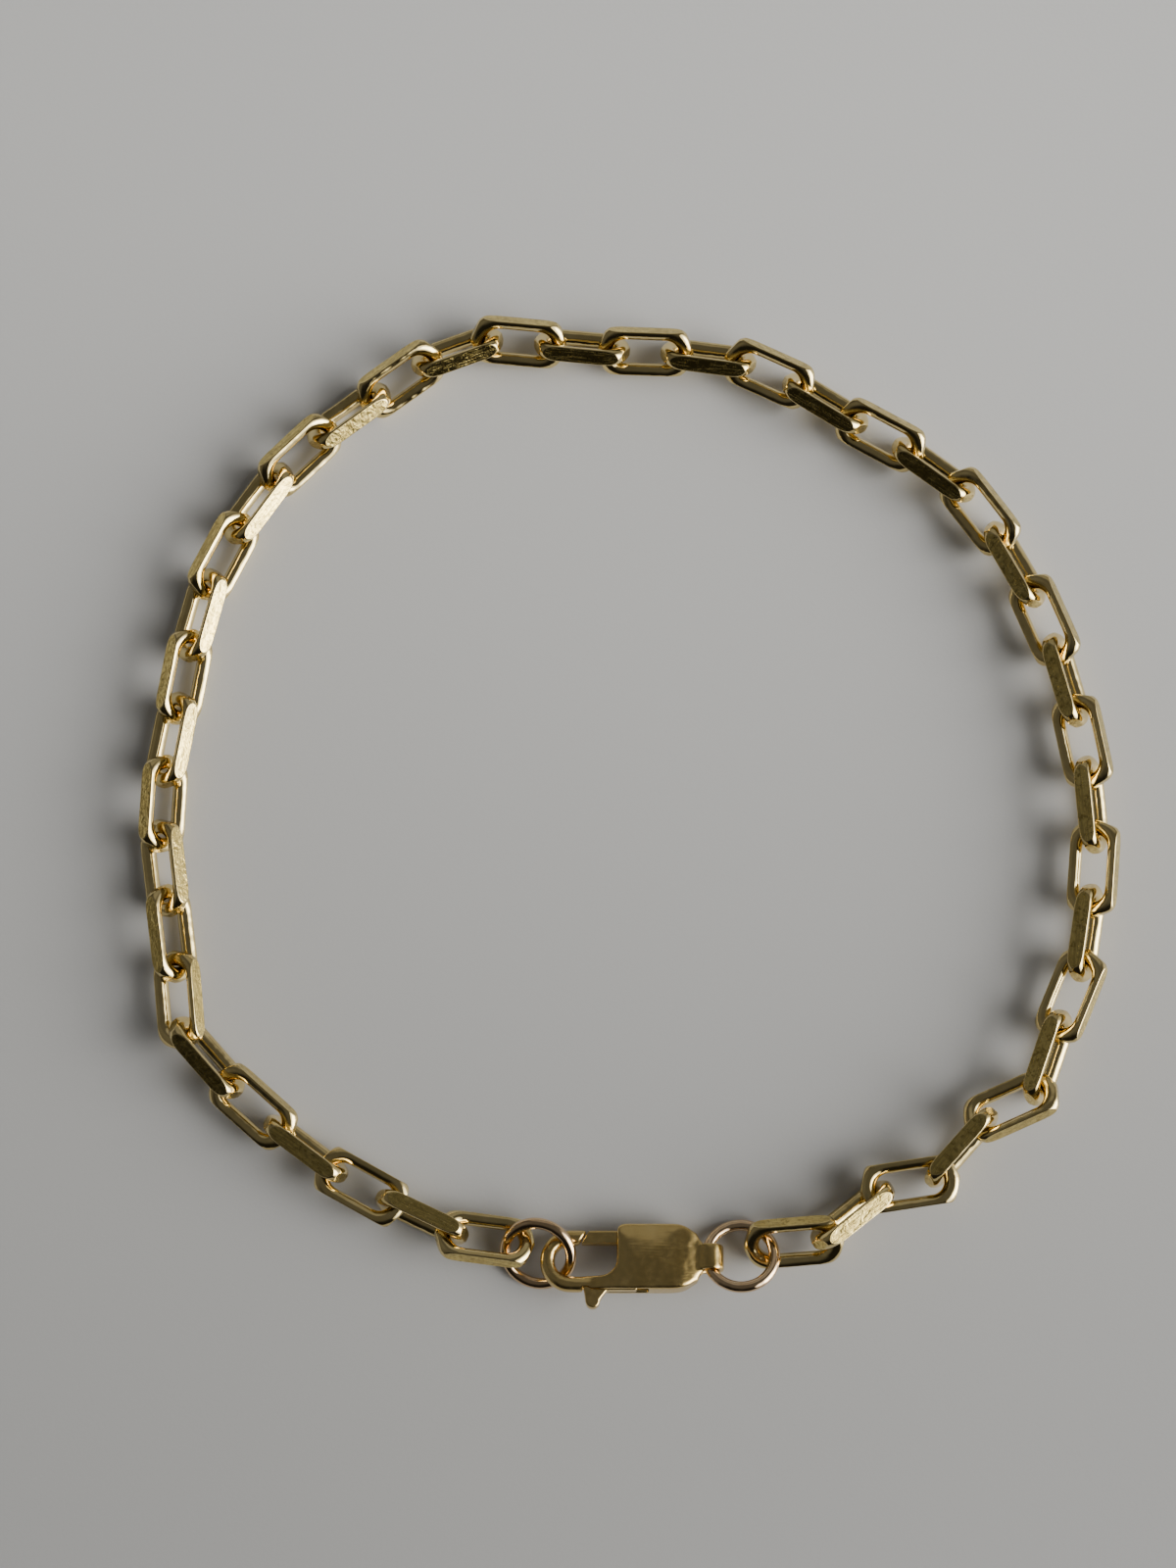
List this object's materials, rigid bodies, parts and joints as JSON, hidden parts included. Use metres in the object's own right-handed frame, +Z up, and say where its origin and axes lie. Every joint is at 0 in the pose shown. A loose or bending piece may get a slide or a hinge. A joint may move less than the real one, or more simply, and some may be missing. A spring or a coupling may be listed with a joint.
{
  "type": "link bracelet",
  "caption": "Gold link bracelet of faceted oval links hooked at right angles, closed by a lobster claw clasp between two round jump rings, lying as a loop.",
  "frame": {"origin": "middle of the laid bracelet's bounding box, on the surface that it lies on", "axes": "+Z up; +Y from the clasp across the loop; +X along the clasp from its hook to its eye"},
  "size_m": [0.0624, 0.0636, 0.0037],
  "materials": {
    "chain_gold": "polished yellow gold, with fine scratched bright facets",
    "ring_gold": "polished gold, a little redder than the chain",
    "clasp_gold": "soft polished yellow gold with fine wear",
    "pin_metal": "plain, out of sight"
  },
  "bodies": {
    "bracelet": {"link_01": "chain_gold", "link_02": "chain_gold", "link_03": "chain_gold", "link_04": "chain_gold", "link_05": "chain_gold", "link_06": "chain_gold", "link_07": "chain_gold", "link_08": "chain_gold", "link_09": "chain_gold", "link_10": "chain_gold", "link_11": "chain_gold", "link_12": "chain_gold", "link_13": "chain_gold", "link_14": "chain_gold", "link_15": "chain_gold", "link_16": "chain_gold", "link_17": "chain_gold", "link_18": "chain_gold", "link_19": "chain_gold", "link_20": "chain_gold", "link_21": "chain_gold", "link_22": "chain_gold", "link_23": "chain_gold", "link_24": "chain_gold", "link_25": "chain_gold", "link_26": "chain_gold", "link_27": "chain_gold", "link_28": "chain_gold", "link_29": "chain_gold", "link_30": "chain_gold", "link_31": "chain_gold", "link_32": "chain_gold", "link_33": "chain_gold", "link_34": "chain_gold", "link_35": "chain_gold", "link_36": "chain_gold", "link_37": "chain_gold", "link_38": "chain_gold", "link_39": "chain_gold", "link_40": "chain_gold", "link_41": "chain_gold", "link_42": "chain_gold", "ring_eye": "ring_gold", "ring_hook": "ring_gold", "clasp_body": "clasp_gold", "clasp_pin": "pin_metal"},
    "lever": {"clasp_lever": "clasp_gold"}
  },
  "joints": [
    {"name": "lever_hinge", "type": "hinge", "parent": "bracelet", "child": "lever", "pos_m": [0.00009, -0.02753, 0.00104], "axis": [0, 0.309, 0.9511], "range_deg": [0, 30], "stiffness_Nm_per_rad": 0.01, "springref_deg": -5.73}
  ]
}
